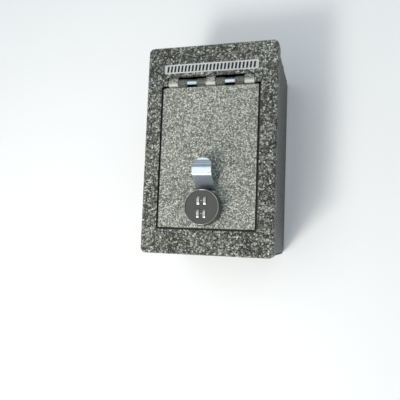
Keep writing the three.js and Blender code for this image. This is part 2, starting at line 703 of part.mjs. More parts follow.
// A round shaft with a square end for the cam, and a blind hole for the cam's screw.
function spindle() {
  const shaft = prismZ(circle(SPINDLE_RADIUS), [BARREL_LOW, KNOB_LOW - SEAT], 12);
  const side = centred(SPINDLE_SQUARE);
  const square = block(side, side, [SPINDLE_LOW, BARREL_LOW + OVERCUT]);
  const hole = prismZ(circle(SCREW_RADIUS + SEAT), [SPINDLE_LOW - OVERCUT, SCREW_HIGH + SEAT]);
  return shaft.add(square).subtract(hole);
}

// The hub hangs on the spindle's square; the blade is cranked up to lock under the frame's strip.
function cam() {
  const blade = polygon([
    [-CAM_TAIL, CAM_HUB_LOW],
    [CAM_CRANK_START + CAM_SHEET / 2, CAM_HUB_LOW],
    [CAM_CRANK_END + CAM_SHEET / 2, CAM_TIP_LOW],
    [CAM_REACH, CAM_TIP_LOW],
    [CAM_REACH, CAM_TIP_HIGH],
    [CAM_CRANK_END - CAM_SHEET / 2, CAM_TIP_HIGH],
    [CAM_CRANK_START - CAM_SHEET / 2, CAM_HUB_HIGH],
    [-CAM_TAIL, CAM_HUB_HIGH],
  ]);
  const swept = new THREE.ExtrudeGeometry(blade, { depth: CAM_WIDTH, bevelEnabled: false });
  const cranked = solid(swept.rotateX(Math.PI / 2).translate(0, CAM_WIDTH / 2, 0));
  const height = widened([CAM_HUB_LOW, CAM_TIP_HIGH], OVERCUT);
  const corner = CAM_WIDTH / 2 - EDGE;
  const plan = prismZ(roundedRect([-CAM_TAIL, CAM_REACH], centred(CAM_WIDTH), corner), height, 4);
  const side = centred(SPINDLE_SQUARE + 2 * SEAT);
  return cranked.intersect(plan).subtract(block(side, side, height));
}

function camWasher() {
  const span = [CAM_WASHER_HIGH - CAM_WASHER_SHEET, CAM_WASHER_HIGH];
  const hole = prismZ(circle(SCREW_RADIUS + SEAT), widened(span, OVERCUT));
  return prismZ(circle(CAM_WASHER_RADIUS), span, 12).subtract(hole);
}

// A domed screw with a cross cut in its head.
function camScrew() {
  const headHigh = CAM_WASHER_HIGH - CAM_WASHER_SHEET - SEAT;
  const headLow = headHigh - SCREW_HEAD_HEIGHT;
  const dome = SCREW_HEAD_HEIGHT / 3;
  const screw = turnedZ(
    [
      [0, headLow],
      [SCREW_HEAD_RADIUS - dome, headLow],
      [SCREW_HEAD_RADIUS - dome / 3, headLow + dome / 3],
      [SCREW_HEAD_RADIUS, headLow + dome],
      [SCREW_HEAD_RADIUS, headHigh],
      [SCREW_RADIUS, headHigh],
      [SCREW_RADIUS, SCREW_HIGH],
      [0, SCREW_HIGH],
    ],
    24,
  );
  const deep = [headLow - OVERCUT, headLow + dome];
  const slots = [
    block(centred(SCREW_SLOT_LENGTH), centred(SCREW_SLOT_WIDTH), deep),
    block(centred(SCREW_SLOT_WIDTH), centred(SCREW_SLOT_LENGTH), deep),
  ];
  return screw.subtract(joined(slots));
}

const shell = new THREE.Group();
shell.add(
  piece("top_frame", topFrame(), coatedSteel),
  piece("box_wrap", boxWrap(), coatedSteel),
  piece("side_panel_left", sidePanel(-1), coatedSteel),
  piece("side_panel_right", sidePanel(1), coatedSteel),
  piece("floor_liner", floorLiner(), foam),
  piece("door_rest_left", sideRest(-1), plainSteel),
  piece("door_rest_right", sideRest(1), plainSteel),
  piece("door_rest_front", frontRest(), plainSteel),
  piece("hinge_pin", hingePin(), chrome, [0, PIN_Y, PIN_Z]),
  ...Object.entries(SLEEVES).map(([side, index]) =>
    piece(`hinge_sleeve_${side}`, hingeSleeve(segmentSpan(index, 0)), chrome, [0, PIN_Y, PIN_Z]),
  ),
  piece("badge_plate", badgePlate(), silverPlate, [0, PIN_Y + BADGE_BEHIND_PIN, TOP + SEAT]),
);

const knob = new THREE.Group();
knob.add(
  piece("knob_shell", knobShell(), darkCasting),
  piece("knob_trim_ring", knobTrimRing(), chrome),
  piece("knob_back", knobBack(), zincSteel),
  piece("detent_leaf", detentLeaf(), zincSteel),
  ...Object.entries(ROWS).map(([row, y]) =>
    piece(`wheel_axle_${row}`, wheelAxle(), zincSteel, [0, y, AXLE_Z]),
  ),
  ...WHEELS.map(({ x, y }, i) => piece(`number_wheel_${i + 1}`, numberWheel(), chrome, [x, y, AXLE_Z])),
  piece("spindle", spindle(), zincSteel),
  piece("cam", cam(), zincSteel),
  piece("cam_washer", camWasher(), zincSteel),
  piece("cam_screw", camScrew(), zincSteel),
);

const door = new THREE.Group();
door.position.set(0, LOCK_Y, TOP);
door.add(
  piece("door_panel", doorPanel(), coatedSteel),
  ...Object.entries(LEAVES).map(([side, knuckles]) =>
    piece(`hinge_leaf_${side}`, hingeLeaf(knuckles), plainSteel, [0, -LOCK_Y, -TOP]),
  ),
  piece("pull_tab", pullTab(), chrome),
  piece("lock_base", lockBase(), zincSteel),
  piece("lock_washer", lockWasher(), zincSteel),
  piece("lock_nut", lockNut(), zincSteel),
  knob,
);

const safe = new THREE.Group();
safe.add(shell, door);

export default safe;
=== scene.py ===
# A console safe of textured black steel, shut, on a plain pale floor.
# Everything is in metres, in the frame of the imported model: +Z up, +Y towards the hinge.
import json
import math

import bmesh
import bpy
from mathutils import Matrix, Vector, noise

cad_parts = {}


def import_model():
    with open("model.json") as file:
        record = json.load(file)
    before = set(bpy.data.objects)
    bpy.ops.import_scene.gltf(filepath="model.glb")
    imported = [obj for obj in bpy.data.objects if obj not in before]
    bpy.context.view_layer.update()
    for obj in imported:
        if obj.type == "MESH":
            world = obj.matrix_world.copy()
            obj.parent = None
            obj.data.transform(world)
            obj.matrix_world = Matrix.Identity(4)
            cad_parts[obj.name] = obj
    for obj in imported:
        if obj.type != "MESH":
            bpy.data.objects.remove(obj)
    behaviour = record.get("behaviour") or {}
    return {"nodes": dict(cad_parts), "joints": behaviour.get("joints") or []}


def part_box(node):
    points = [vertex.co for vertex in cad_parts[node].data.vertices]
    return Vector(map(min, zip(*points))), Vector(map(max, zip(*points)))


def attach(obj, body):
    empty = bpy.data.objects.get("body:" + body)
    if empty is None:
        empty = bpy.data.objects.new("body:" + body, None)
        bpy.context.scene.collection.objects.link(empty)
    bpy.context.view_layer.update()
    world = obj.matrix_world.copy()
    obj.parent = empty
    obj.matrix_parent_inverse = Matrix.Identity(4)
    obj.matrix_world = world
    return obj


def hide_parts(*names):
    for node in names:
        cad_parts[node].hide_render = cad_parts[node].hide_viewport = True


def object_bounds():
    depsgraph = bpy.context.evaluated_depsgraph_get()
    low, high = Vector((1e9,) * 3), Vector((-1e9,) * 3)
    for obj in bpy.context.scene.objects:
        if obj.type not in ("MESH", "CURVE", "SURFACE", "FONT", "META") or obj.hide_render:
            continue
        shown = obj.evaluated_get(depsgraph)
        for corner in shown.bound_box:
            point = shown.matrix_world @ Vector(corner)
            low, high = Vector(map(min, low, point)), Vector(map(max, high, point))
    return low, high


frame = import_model()
cad_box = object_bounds()
nodes = frame["nodes"]
joints = {joint["name"]: joint for joint in frame["joints"]}

MM = 0.001
WHEELS = range(1, 5)

# Camera of the photograph, fitted to the corners of the door's groove and of the frame
IMAGE_SIDE = 400  # pixels
FOCAL_PIXELS = 450
SENSOR_WIDTH = 36  # the camera's own unit, millimetres of film
CLIP_START = 0.01
CLIP_END = 50
CAMERA_FROM_DOOR = Vector((0.1520, -0.1024, 0.5597))  # from the middle of the door's outer face
CAMERA_RIGHT = Vector((0.9617, 0.0384, -0.2713))
CAMERA_BACK = Vector((0.2736, -0.0774, 0.9587))

# Colours, linear; the second of a pair is the worn, faded or dusty one
# painted glint: the light caught on the crowns of the coat's grains
COAT_GLINT = (0.51, 0.515, 0.445)
# painted highlight along the near edges of the frame's hinge tabs, as bright as bare metal
TAB_EDGE_HIGHLIGHT = (0.80, 0.81, 0.77)
BLACK_PAINT = (0.022, 0.022, 0.021)
DUST = (0.05, 0.048, 0.045)
# the blue in the pull's chrome is a painted reflection of a sky
SKY_TINTED_CHROME = (0.55, 0.63, 0.685)
# painted shade on the pull's foot, where it goes under the knob
UNDER_KNOB_SHADE = (0.07, 0.08, 0.085)
POLISHED_STEEL = (0.45, 0.50, 0.53)
TRIM = (0.30, 0.29, 0.28)
ZINC, ZINC_DULL = (0.56, 0.57, 0.56), (0.47, 0.48, 0.44)
SILVER, SILVER_GROOVE = (0.86, 0.87, 0.85), (0.46, 0.47, 0.46)
CASTING, CASTING_WORN = (0.066, 0.066, 0.060), (0.095, 0.095, 0.087)
WHEEL = (0.52, 0.52, 0.51)
INK, INK_FADED = (0.006, 0.006, 0.006), (0.02, 0.02, 0.02)
FIGURE, FIGURE_FADED = (0.05, 0.05, 0.05), (0.11, 0.11, 0.11)
MARK, MARK_FADED = (0.45, 0.45, 0.43), (0.36, 0.36, 0.35)
FELT, FELT_FIBRE, FELT_NAP = (0.018, 0.018, 0.019), (0.05, 0.05, 0.053), (0.034, 0.034, 0.036)
WHITE = (1, 1, 1)
FLOOR = (0.90, 0.90, 0.89)
SKY_LIGHT = (0.32, 0.375, 0.42)
HORIZON = (0.84, 0.86, 0.88)
ZENITH = (0.20, 0.26, 0.32)

# Powder coat. Silver is how much painted glint of light shows on a grain, from 0 in the dark to 1
GLINT_STOPS = (0.10, 0.28, 0.56)  # where the colours of valley, slope and crown stand
GRAIN_SLOPE = (0.10, 0.82)  # where a grain begins and ends to fall, in cells from its middle
COARSE_SHARE = 0.56  # of the coarse grains in the silver; the rest is the fine grains'
FINE_GRAINS = 3.1  # to the width of a coarse one
SHAKE_RATE = 1.3  # noise cells to the width of a coarse grain
SHAKE_REACH = 1.5  # twice the farthest that a point is moved, in widths of a coarse grain
PATCH_RATE = 0.05  # noise cells to the width of a coarse grain
PATCH_GLINT = 0.03  # what a patch adds or takes away
COAT_METAL = 0.25
COAT_ROUGHNESS = (0.60, 0.34)  # of a valley and of a crown
COAT_RELIEF = 0.30  # height of the grains over their width

# Where the coat's painted light changes: heights, and places along Y
TOP_BEND = (0.158, 0.1645)  # heights between which the top bends down into the skirt
TAB_SPACING = 0.052  # between the middles of the frame's hinge tabs
TAB_HALF = 0.0065
TAB_EDGE = 0.0003  # half the width of the change at a tab's sides
TAB_NEAR = (0.0800, 0.0805)
TAB_FAR = (0.0950, 0.0972)
# where the painted highlight runs along the tabs' near edges
TAB_HIGHLIGHT_BAND = (0.0864, 0.0892)
PULL_SHADE_HEIGHTS = (0.166, 0.171)  # heights between which the pull's foot goes over from painted shade to plain chrome


# Node helpers

class Shader:
    """A node tree, with short ways to add and join nodes."""

    def __init__(self, name):
        self.material = bpy.data.materials.new(name)
        self.material.use_nodes = True
        self.tree = self.material.node_tree
        self.tree.nodes.clear()
        output = self.add("ShaderNodeOutputMaterial")
        self.surface = self.add("ShaderNodeBsdfPrincipled")
        self.join(self.surface.outputs["BSDF"], output.inputs["Surface"])
        self.place = self.add("ShaderNodeTexCoord").outputs["Object"]

    @classmethod
    def of_tree(cls, tree):
        """The same for a tree that exists, of a material or of the world."""
        s = cls.__new__(cls)
        s.tree = tree
        s.surface = tree.nodes.get("Principled BSDF")
        s.place = s.add("ShaderNodeTexCoord").outputs["Object"]
        return s

    def add(self, kind, **settings):
        node = self.tree.nodes.new(kind)
        for key, value in settings.items():
            setattr(node, key, value)
        return node

    def join(self, source, target):
        self.tree.links.new(source, target)

    def put(self, socket, value):
        """Joins an output to the socket, or sets a number or a colour on it."""
        if hasattr(value, "links"):
            self.join(value, socket)
        elif socket.type == "RGBA":
            socket.default_value = (*value, 1)
        else:
            socket.default_value = value

    def fill(self, node, **values):
        for key, value in values.items():
            self.put(node.inputs[key.replace("_", " ")], value)

    def stretched(self, scale):
        mapping = self.add("ShaderNodeMapping")
        self.fill(mapping, Vector=self.place, Scale=scale)
        return mapping.outputs["Vector"]

    def noise(self, scale, detail=2.0, roughness=0.5, vector=None):
        node = self.add("ShaderNodeTexNoise")
        self.fill(node, Vector=vector or self.place, Scale=scale, Detail=detail, Roughness=roughness)
        return node.outputs["Fac"]

    def cells(self, scale):
        """A colour of its own for each cell."""
        node = self.add("ShaderNodeTexVoronoi")
        self.fill(node, Vector=self.place, Scale=scale)
        return node.outputs["Color"]

    def grains(self, scale, vector):
        """The distance from the middle of each grain, and a number of its own for each grain."""
        node = self.add("ShaderNodeTexVoronoi")
        self.fill(node, Vector=vector, Scale=scale)
        return node.outputs["Distance"], self.split(node.outputs["Color"])[0]

    def shaken(self, scale, distance):
        """The place, moved about by up to half the distance, so that what is drawn there is uneven."""
        node = self.add("ShaderNodeTexNoise")
        self.fill(node, Vector=self.place, Scale=scale, Detail=2.0)
        centred = self.vector("SUBTRACT", node.outputs["Color"], (0.5, 0.5, 0.5))
        return self.vector("ADD", self.place, self.vector("MULTIPLY", centred, (distance,) * 3))

    def vector(self, operation, first, second):
        node = self.add("ShaderNodeVectorMath", operation=operation)
        self.put(node.inputs[0], first)
        self.put(node.inputs[1], second)
        return node.outputs[0]

    def math(self, operation, first, second=0.0):
        node = self.add("ShaderNodeMath", operation=operation)
        self.put(node.inputs[0], first)
        self.put(node.inputs[1], second)
        return node.outputs[0]

    def split(self, vector):
        node = self.add("ShaderNodeSeparateXYZ")
        self.join(vector, node.inputs["Vector"])
        return node.outputs

    def ramp(self, source, stops):
        node = self.add("ShaderNodeValToRGB")
        self.join(source, node.inputs["Fac"])
        elements = node.color_ramp.elements
        while len(elements) < len(stops):
            elements.new(0.5)
        for element, (position, colour) in zip(elements, stops):
            element.position = position
            element.color = (*colour, 1)
        return node.outputs["Color"]

    def grey(self, source, low, high, start=0.0, end=1.0):
        """source from start to end, as a number from low to high."""
        node = self.add("ShaderNodeMapRange")
        self.fill(node, Value=source, From_Min=start, From_Max=end, To_Min=low, To_Max=high)
        return node.outputs["Result"]

    def mix(self, factor, first, second):
        node = self.add("ShaderNodeMix", data_type="RGBA")
        for socket, value in ((node.inputs[0], factor), (node.inputs[6], first), (node.inputs[7], second)):
            self.put(socket, value)
        return node.outputs[2]

    def bump(self, height, distance, strength):
        node = self.add("ShaderNodeBump")
        self.fill(node, Height=height, Distance=distance, Strength=strength)
        self.join(node.outputs["Normal"], self.surface.inputs["Normal"])


# Materials

def scaled(colour, factor):
    return tuple(channel * factor for channel in colour)


# The coat's painted glints: brightest on a grain's crown, dimmer on its slope and in the valleys
def coat_colour(s, silver, brightness, softness):
    crown = scaled(COAT_GLINT, brightness)
    colours = (scaled(crown, softness ** 3), scaled(crown, softness), crown)
    return s.ramp(silver, list(zip(GLINT_STOPS, colours)))


def tab_places(s):
    """1 on the flat of the frame's hinge tabs, fading out where the slots between them end: where a
    highlight is painted.
    """
    x, y = s.split(s.place)[:2]
    across = s.math("ABSOLUTE", x)
    outer = s.math("ABSOLUTE", s.math("SUBTRACT", across, TAB_SPACING))
    nearest = s.math("MINIMUM", across, outer)
    inside = s.grey(nearest, 1, 0, TAB_HALF - TAB_EDGE, TAB_HALF + TAB_EDGE)
    along = s.math("MULTIPLY", s.grey(y, 0, 1, *TAB_NEAR), s.grey(y, 1, 0, *TAB_FAR))
    return s.math("MULTIPLY", inside, along)


def coat(name, grain, brightness, evenness=0.30, softness=0.34, lower=None, gloss=0.0, tabs=None):
    """Textured powder coat: rounded grains, dark between them, each with its own share of silver, a glint
    of light painted on it.

    grain is their spacing in metres, brightness how bright the painted glints are, evenness the silver
    that even the dullest grain has, and softness the brightness of a grain's slope over that of its crown.
    lower, where given, is the brightness and the softness below the level top of the safe, a painted
    shade, and tabs those on the hinge tabs, a painted highlight."""
    s = Shader(name)
    uneven = s.shaken(SHAKE_RATE / grain, SHAKE_REACH * grain)
    distance, tone = s.grains(1.0 / grain, uneven)
    fine_distance, fine_tone = s.grains(FINE_GRAINS / grain, uneven)
    patch = s.noise(PATCH_RATE / grain)
    coarse = s.math("MULTIPLY", s.grey(distance, 1, 0, *GRAIN_SLOPE), s.grey(tone, evenness, 1.0))
    fine = s.math("MULTIPLY", s.grey(fine_distance, 1, 0, *GRAIN_SLOPE), fine_tone)
    coarse = s.math("MULTIPLY", coarse, COARSE_SHARE)
    height = s.math("ADD", coarse, s.math("MULTIPLY", fine, 1 - COARSE_SHARE))
    silver = s.math("ADD", height, s.grey(patch, -PATCH_GLINT, PATCH_GLINT, 0.3, 0.7))
    colour = coat_colour(s, silver, brightness, softness)
    # painted shade: below the level top the glints are a dimmer copy, for the skirt's sides
    if lower:
        level = s.grey(s.split(s.place)[2], 0, 1, *TOP_BEND)
        colour = s.mix(level, coat_colour(s, silver, *lower), colour)
    # painted highlight: a lighter copy of the glints on the hinge tabs
    if tabs:
        colour = s.mix(tab_places(s), colour, coat_colour(s, silver, *tabs))
    valley, crown = (roughness - gloss for roughness in COAT_ROUGHNESS)
    rough = s.grey(height, valley, crown, 0.1, 0.6)
    s.fill(s.surface, Base_Color=colour, Metallic=COAT_METAL, Roughness=rough)
    s.bump(height, COAT_RELIEF * grain, 0.9)
    return s.material


def wear_off(material, place):
    """Paints a highlight as bright as bare metal between the two places along Y, fully at the first of
    them.
    """
    s = Shader.of_tree(material.node_tree)
    colour = s.surface.inputs["Base Color"]
    share = s.grey(s.split(s.place)[1], 1, 0, *place)
    s.join(s.mix(share, colour.links[0].from_socket, TAB_EDGE_HIGHLIGHT), colour)


def black_paint():
    s = Shader("black_paint")
    orange_peel = s.noise(900)
    dust = s.noise(35, detail=4.0, roughness=0.7)
    colour = s.mix(s.grey(dust, 0.0, 0.35, 0.45, 0.75), BLACK_PAINT, DUST)
    s.fill(s.surface, Base_Color=colour, Roughness=s.grey(dust, 0.42, 0.6, 0.35, 0.7))
    s.bump(orange_peel, 0.4 * MM, 0.25)
    return s.material


def bright_metal(name, colour, roughness, stain=0.12, scratch=0.05, metallic=1.0, shade_heights=None):
    """Plated or polished metal with faint wipe marks and a little cloudiness.

    Where two heights are given, it goes over between them from painted shade below to the plain metal
    above."""
    s = Shader(name)
    wipes = s.noise(60, detail=5.0, roughness=0.75, vector=s.stretched((9.0, 1.0, 1.0)))
    cloud = s.noise(55, detail=3.0, roughness=0.6)
    shown = s.mix(s.grey(cloud, 0, 1, 0.4, 0.7), colour, scaled(colour, 1 - stain))
    # painted shade, low on the piece, as under the knob
    if shade_heights:
        shown = s.mix(s.grey(s.split(s.place)[2], 0, 1, *shade_heights), UNDER_KNOB_SHADE, shown)
    rough = s.grey(wipes, roughness, roughness + scratch, 0.4, 0.7)
    s.fill(s.surface, Base_Color=shown, Metallic=metallic, Roughness=rough)
    s.bump(wipes, 0.04 * MM, 0.3)
    return s.material


def zinc_plate():
    s = Shader("zinc_plate")
    crystals = s.cells(260)
    cloud = s.noise(90, detail=4.0)
    colour = s.mix(s.grey(cloud, 0.0, 0.6, 0.35, 0.7), ZINC, ZINC_DULL)
    s.fill(s.surface, Base_Color=colour, Metallic=1.0, Roughness=s.grey(crystals, 0.3, 0.46))
    s.bump(cloud, 0.1 * MM, 0.3)
    return s.material


def silver_plate():
    """Satin silver, brushed along the strip."""
    s = Shader("silver_plate")
    brushing = s.noise(70, detail=6.0, roughness=0.8, vector=s.stretched((0.6, 26.0, 1.0)))
    colour = s.mix(s.grey(brushing, 0, 1, 0.35, 0.65), SILVER, SILVER_GROOVE)
    rough = s.grey(brushing, 0.42, 0.55, 0.35, 0.65)
    s.fill(s.surface, Base_Color=colour, Metallic=0.4, Roughness=rough)
    s.bump(brushing, 0.06 * MM, 0.4)
    return s.material


def casting():
    """Satin dark grey paint on a casting, worn a touch lighter in places."""
    s = Shader("satin_casting")
    fine = s.noise(1500)
    worn = s.noise(120, detail=5.0, roughness=0.7)
    colour = s.mix(s.grey(worn, 0.0, 0.5, 0.5, 0.75), CASTING, CASTING_WORN)
    s.fill(s.surface, Base_Color=colour, Metallic=0.35, Roughness=s.grey(worn, 0.30, 0.42, 0.35, 0.7))
    s.bump(fine, 0.12 * MM, 0.35)
    return s.material


def ink(name, colour, faded):
    s = Shader(name)
    patchy = s.noise(1800)
    s.fill(s.surface, Base_Color=s.mix(patchy, colour, faded), Roughness=0.5)
    return s.material


def felt():
    s = Shader("felt")
    fibres = s.noise(1400, detail=6.0, roughness=0.8, vector=s.stretched((1.0, 1.6, 1.0)))
    nap = s.noise(45, detail=3.0)
    colour = s.mix(s.grey(fibres, 0, 1, 0.35, 0.7), FELT, FELT_FIBRE)
    colour = s.mix(s.grey(nap, 0.0, 0.35, 0.4, 0.7), colour, FELT_NAP)
    s.fill(s.surface, Base_Color=colour, Roughness=1.0, Sheen_Weight=0.35, Sheen_Roughness=0.5)
    s.bump(fibres, 0.6 * MM, 0.7)
    return s.material


# One powder coat in lit and shaded copies: bright painted glints on the top faces, dim ones on the walls
# and undersides
LIT_FRAME_COAT = coat(
    "lit_frame_coat", 2.5 * MM, 1.66, evenness=0.0, softness=0.30, lower=(0.70, 0.42), tabs=(1.80, 0.55)
)
LIT_DOOR_COAT = coat("lit_door_coat", 1.9 * MM, 1.88, evenness=0.10, softness=0.49)
SHADED_WALL_COAT = coat("shaded_wall_coat", 1.6 * MM, 0.30, softness=0.60)
WELD_COAT = coat("weld_coat", 1.4 * MM, 0.34, softness=0.7)
# painted shade: the door's knuckles darker, as they sit low in the slots
SHADED_LEAF_COAT = coat("shaded_leaf_coat", 1.2 * MM, 0.70, softness=0.5)
LIT_TAB_COAT = coat("lit_tab_coat", 1.6 * MM, 1.80, evenness=0.1, softness=0.50, gloss=0.20)
wear_off(LIT_TAB_COAT, TAB_HIGHLIGHT_BAND)
BLACK = black_paint()
PULL_CHROME = bright_metal("pull_chrome", SKY_TINTED_CHROME, 0.15, metallic=0.66, shade_heights=PULL_SHADE_HEIGHTS)
PIN_STEEL = bright_metal("pin_steel", POLISHED_STEEL, 0.18, stain=0.2, scratch=0.12)
TRIM_CHROME = bright_metal("trim_chrome", TRIM, 0.16)
WHEEL_METAL = bright_metal("wheel_metal", WHEEL, 0.26, stain=0.25, scratch=0.1)
ZINC_PLATE = zinc_plate()
SILVER_PLATE = silver_plate()
CASTING_PAINT = casting()
INK_PAINT = ink("ink", INK, INK_FADED)
FIGURE_PAINT = ink("figure_paint", FIGURE, FIGURE_FADED)
MARK_PAINT = ink("mark_paint", MARK, MARK_FADED)
FELT_FACE = felt()


# CAD pieces: their material, the width of their broken edges or 0 for sharp ones, and their names
DRESSES = [
    (LIT_FRAME_COAT, 0.5 * MM, ["top_frame"]),
    (SHADED_WALL_COAT, 0.4 * MM, ["box_wrap", "side_panel_left", "side_panel_right"]),
    (LIT_DOOR_COAT, 0.55 * MM, ["door_panel"]),
    (BLACK, 0.35 * MM, ["door_rest_left", "door_rest_right", "door_rest_front"]),
    (SHADED_LEAF_COAT, 0.3 * MM, ["hinge_leaf_left", "hinge_leaf_right"]),
    (PIN_STEEL, 0.3 * MM, ["hinge_sleeve_left", "hinge_sleeve_right"]),
    (PIN_STEEL, 0, ["hinge_pin"]),
    (SILVER_PLATE, 0.2 * MM, ["badge_plate"]),
    (PULL_CHROME, 0.4 * MM, ["pull_tab"]),
    (CASTING_PAINT, 0.25 * MM, ["knob_shell"]),
    (TRIM_CHROME, 0, ["knob_trim_ring"]),
    (WHEEL_METAL, 0.12 * MM, [f"number_wheel_{index}" for index in WHEELS]),
    (ZINC_PLATE, 0.3 * MM, ["cam"]),
    (ZINC_PLATE, 0.15 * MM, ["cam_washer", "lock_washer"]),
    (ZINC_PLATE, 0, ["wheel_axle_upper", "wheel_axle_lower", "detent_leaf", "knob_back"]),
    (ZINC_PLATE, 0, ["spindle", "cam_screw", "lock_base", "lock_nut"]),
]
EDGE_ANGLE = math.radians(38)  # the least that is broken
SMOOTH_ANGLE = math.radians(35)  # the most that is shaded as round


def dress(name, material, edge_width):
    piece = nodes[name]
    piece.data.materials.clear()
    piece.data.materials.append(material)
    if edge_width:
        bevel = piece.modifiers.new("broken_edges", "BEVEL")
        bevel.width = edge_width
        bevel.segments = 2
        bevel.limit_method = "ANGLE"
        bevel.angle_limit = EDGE_ANGLE
    piece.data.shade_smooth()
    kept = piece.modifiers.new("kept_edges", "EDGE_SPLIT")
    kept.split_angle = SMOOTH_ANGLE


def paint_faces(name, material, test):
    """Gives the faces whose middle and normal pass the test another material."""
    piece = nodes[name]
    piece.data.materials.append(material)
    turn = piece.matrix_world.to_3x3()
    for face in piece.data.polygons:
        if test(piece.matrix_world @ face.center, turn @ face.normal):
            face.material_index = len(piece.data.materials) - 1


for dress_material, dress_edge, dress_names in DRESSES:
    for dress_name in dress_names:
        dress(dress_name, dress_material, dress_edge)

# The door's underside gets the walls' shaded copy of the coat, and the cut edges in its groove are plain
# black
door_low, door_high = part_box("door_panel")
GROOVE_REACH = 6 * MM
paint_faces("door_panel", SHADED_WALL_COAT, lambda centre, normal: normal.z < -0.5)
paint_faces("door_panel", BLACK, lambda centre, normal: abs(normal.z) < 0.5)
paint_faces(
    "top_frame",
    BLACK,
    lambda centre, normal: abs(normal.z) < 0.5
    and abs(centre.x) < door_high.x + GROOVE_REACH
    and door_low.y - GROOVE_REACH < centre.y < door_high.y + GROOVE_REACH,
)

# The frame's knuckles get a lighter copy of the coat, a painted highlight, so they shine lighter than the
# flat
hinge_axis = Vector(joints["door_hinge"]["pos_m"])
KNUCKLE_REACH = 6.5 * MM  # from the axis
KNUCKLE_BACK = KNUCKLE_REACH / 4  # from the axis towards the badge
paint_faces(
    "top_frame",
    LIT_TAB_COAT,
    lambda centre, normal: abs(normal.x) < 0.5
    and abs(centre.x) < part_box("hinge_pin")[1].x
    and centre.y < hinge_axis.y + KNUCKLE_BACK
    and (centre.yz - hinge_axis.yz).length < KNUCKLE_REACH,
)


# New pieces

def as_mesh(mesh, name):
    """Ends the editing of a mesh and keeps it under the name."""
    data = bpy.data.meshes.new(name)
    mesh.to_mesh(data)
    mesh.free()
    return data


def new_piece(data, material, body):
    piece = bpy.data.objects.new(data.name, data)
    bpy.context.scene.collection.objects.link(piece)
    data.materials.clear()
    data.materials.append(material)
    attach(piece, body)
    return piece


# Badge: evenly spaced black bars in the sunk field
BADGE_RIM = 0.5 * MM  # height of the plate's rim over its field
BAR_PITCH = 4.9 * MM
BAR_WIDTH = 2.7 * MM
BAR_COUNT = 25
BAR_LENGTH = 8.4 * MM
BAR_SLANT = 0.9 * MM
BAR_LIFT = 0.06 * MM


def badge_bars():
    low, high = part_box("badge_plate")
    field = high.z - BADGE_RIM
    middle = (low.y + high.y) / 2
    mesh = bmesh.new()
    for index in range(BAR_COUNT):
        x = (index - (BAR_COUNT - 1) / 2) * BAR_PITCH
        corners = [
            (x - (BAR_WIDTH + BAR_SLANT) / 2, middle - BAR_LENGTH / 2),
            (x + (BAR_WIDTH - BAR_SLANT) / 2, middle - BAR_LENGTH / 2),
            (x + (BAR_WIDTH + BAR_SLANT) / 2, middle + BAR_LENGTH / 2),
            (x - (BAR_WIDTH - BAR_SLANT) / 2, middle + BAR_LENGTH / 2),
        ]
        face = mesh.faces.new([mesh.verts.new((u, v, field)) for u, v in corners])
        lifted = bmesh.ops.extrude_face_region(mesh, geom=[face])
        moved = [item for item in lifted["geom"] if isinstance(item, bmesh.types.BMVert)]
        bmesh.ops.translate(mesh, verts=moved, vec=(0, 0, BAR_LIFT))
    bmesh.ops.recalc_face_normals(mesh, faces=mesh.faces)
    new_piece(as_mesh(mesh, "badge_bars"), INK_PAINT, "safe")


badge_bars()


# Number wheels: a figure on each of the ten flats
FLATS = 10
FIGURE_HEIGHT = 2.6 * MM
FONT_SIZE = 1.4 * FIGURE_HEIGHT
FIGURE_DEPTH = 0.05 * MM
MERGE_DISTANCE = 0.001 * MM


def figure_mesh(figure, place):
    """One figure, upright at the place."""
    curve = bpy.data.curves.new(f"figure_{figure}", "FONT")
    curve.body = str(figure)
    curve.size = FONT_SIZE
    curve.align_x = "CENTER"
    curve.align_y = "CENTER"
    curve.extrude = FIGURE_DEPTH / 2
    curve.resolution_u = 2
    text = bpy.data.objects.new(curve.name, curve)
    bpy.context.scene.collection.objects.link(text)
    bpy.context.view_layer.update()
    evaluated = text.evaluated_get(bpy.context.evaluated_depsgraph_get())
    mesh = bpy.data.meshes.new_from_object(evaluated)
    mesh.transform(place)
    bpy.data.objects.remove(text)
    return mesh


def figures(index):
    centre = Vector(joints[f"wheel_{index}_turn"]["pos_m"])
    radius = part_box(f"number_wheel_{index}")[1].z - centre.z  # of the flats: one is upright at rest
    joined = bmesh.new()
    for figure in range(FLATS):
        turn = Matrix.Rotation(-2 * math.pi * figure / FLATS, 4, "X")
        mesh = figure_mesh(figure, Matrix.Translation(centre) @ turn @ Matrix.Translation((0, 0, radius)))
        joined.from_mesh(mesh)
        bpy.data.meshes.remove(mesh)
    bmesh.ops.remove_doubles(joined, verts=joined.verts, dist=MERGE_DISTANCE)
    new_piece(as_mesh(joined, f"figures_{index}"), FIGURE_PAINT, f"wheel_{index}")


for wheel in WHEELS:
    figures(wheel)


# Index marks: light paint on the raised lines between the wheels of each row
MARK_SIZE = Vector((2.6, 0.8, 0.08)) * MM


def index_mark(row, left_wheel, right_wheel):
    left, right = (Vector(joints[f"wheel_{index}_turn"]["pos_m"]) for index in (left_wheel, right_wheel))
    middle = (left + right) / 2
    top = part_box("knob_shell")[1].z  # of the raised lines
    mesh = bmesh.new()
    bmesh.ops.create_cube(mesh, size=1)
    bmesh.ops.scale(mesh, verts=mesh.verts, vec=MARK_SIZE)
    upper = [edge for edge in mesh.edges if all(vert.co.z > 0 for vert in edge.verts)]
    bmesh.ops.bevel(mesh, geom=upper, offset=MARK_SIZE.z / 3, segments=2, affect="EDGES")
    bmesh.ops.translate(mesh, verts=mesh.verts, vec=(middle.x, middle.y, top))
    new_piece(as_mesh(mesh, f"index_mark_{row}"), MARK_PAINT, "knob")


index_mark("upper", 1, 2)
index_mark("lower", 3, 4)


